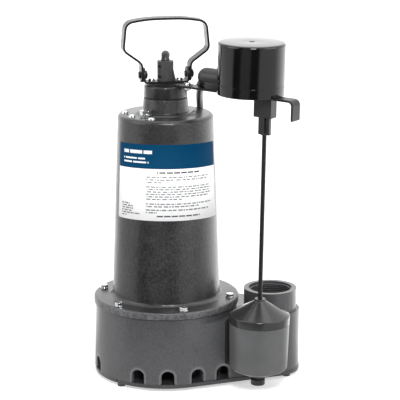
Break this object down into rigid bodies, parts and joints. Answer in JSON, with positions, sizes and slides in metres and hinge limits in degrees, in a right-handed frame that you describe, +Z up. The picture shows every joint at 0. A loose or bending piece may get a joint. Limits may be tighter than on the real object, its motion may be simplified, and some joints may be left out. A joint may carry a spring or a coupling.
{
  "type": "submersible sump pump",
  "caption": "Upright cast-iron submersible sump pump with a float on a vertical switch rod, arched inlet slots at the foot, a threaded discharge, a folding bail handle and mains cords.",
  "frame": {"origin": "on the motor axis, on the floor under the feet, at the centre of the pad under the bottom plate", "axes": "+X to the discharge, -Y to the front where the label place is, +Z up along the motor axis"},
  "size_m": [0.232, 0.3255, 0.403],
  "materials": {
    "cast_iron": "charcoal grey enamel on cast iron, satin, faint orange peel",
    "plate_iron": "dark grey enamel on cast iron",
    "zinc": "bright zinc plate",
    "gasket": "black nitrile rubber",
    "steel": "ground stainless steel",
    "laminations": "bare electrical steel",
    "copper": "enamelled copper wire",
    "black_plastic": "black glass-filled nylon",
    "float_plastic": "dark grey polypropylene, satin",
    "gloss_plastic": "glossy black ABS",
    "black_strap": "black paint on strap steel and its pivots",
    "black_rod": "black-coated steel rod",
    "cord_jacket": "black thermoplastic-rubber jacket",
    "brass": "bare brass blades"
  },
  "bodies": {
    "pump": {"base_plate": "plate_iron", "plate_screws": "zinc", "volute": "cast_iron", "casing_gasket": "gasket", "motor_housing": "cast_iron", "flange_bolts": "zinc", "seal_plate": "plate_iron", "lower_bearing": "steel", "upper_bearing": "steel", "shaft_seal": "gasket", "stator_core": "laminations", "stator_windings": "copper", "overload_switch": "black_plastic", "oil_plug": "zinc", "shoulder_screws": "zinc", "cap_seal": "gasket", "neck_cap": "cast_iron", "motor_gland": "black_plastic", "motor_boot": "cord_jacket", "handle_bracket": "black_strap", "bracket_screws": "zinc", "pivot_bolts": "black_strap", "pivot_nuts": "black_strap", "switch_arm": "black_strap", "arm_screw": "zinc", "switch_base": "gloss_plastic", "switch_cap": "gloss_plastic", "snap_switch": "black_plastic", "rod_guide": "black_plastic", "switch_gland": "black_plastic", "switch_boot": "cord_jacket", "motor_cord": "cord_jacket", "motor_coil": "cord_jacket", "motor_plug": "cord_jacket", "motor_blades": "brass", "switch_cord": "cord_jacket", "switch_coil": "cord_jacket", "switch_plug": "cord_jacket", "switch_blades": "brass"},
    "rotor": {"rotor_core": "laminations", "shaft": "steel", "impeller": "black_plastic", "impeller_nut": "zinc"},
    "handle": {"handle": "black_strap"},
    "rod": {"float_rod": "black_rod", "rod_magnet": "laminations", "rod_coupler": "black_plastic", "rod_stop": "black_plastic"},
    "float": {"float_upper": "float_plastic", "float_lower": "float_plastic"}
  },
  "joints": [
    {"name": "shaft_spin", "type": "hinge", "parent": "pump", "child": "rotor", "pos_m": [0, 0, 0.2], "axis": [0, 0, 1], "continuous": true},
    {"name": "handle_swing", "type": "hinge", "parent": "pump", "child": "handle", "pos_m": [0, 0, 0.34], "axis": [0.9781, 0.2079, 0], "range_deg": [-88, 60]},
    {"name": "rod_lift", "type": "slide", "parent": "pump", "child": "rod", "axis": [0.0174, -0.0117, 0.9998], "range_m": [0, 0.01]},
    {"name": "float_slide", "type": "slide", "parent": "rod", "child": "float", "axis": [0.0174, -0.0117, 0.9998], "range_m": [0, 0.182]}
  ]
}
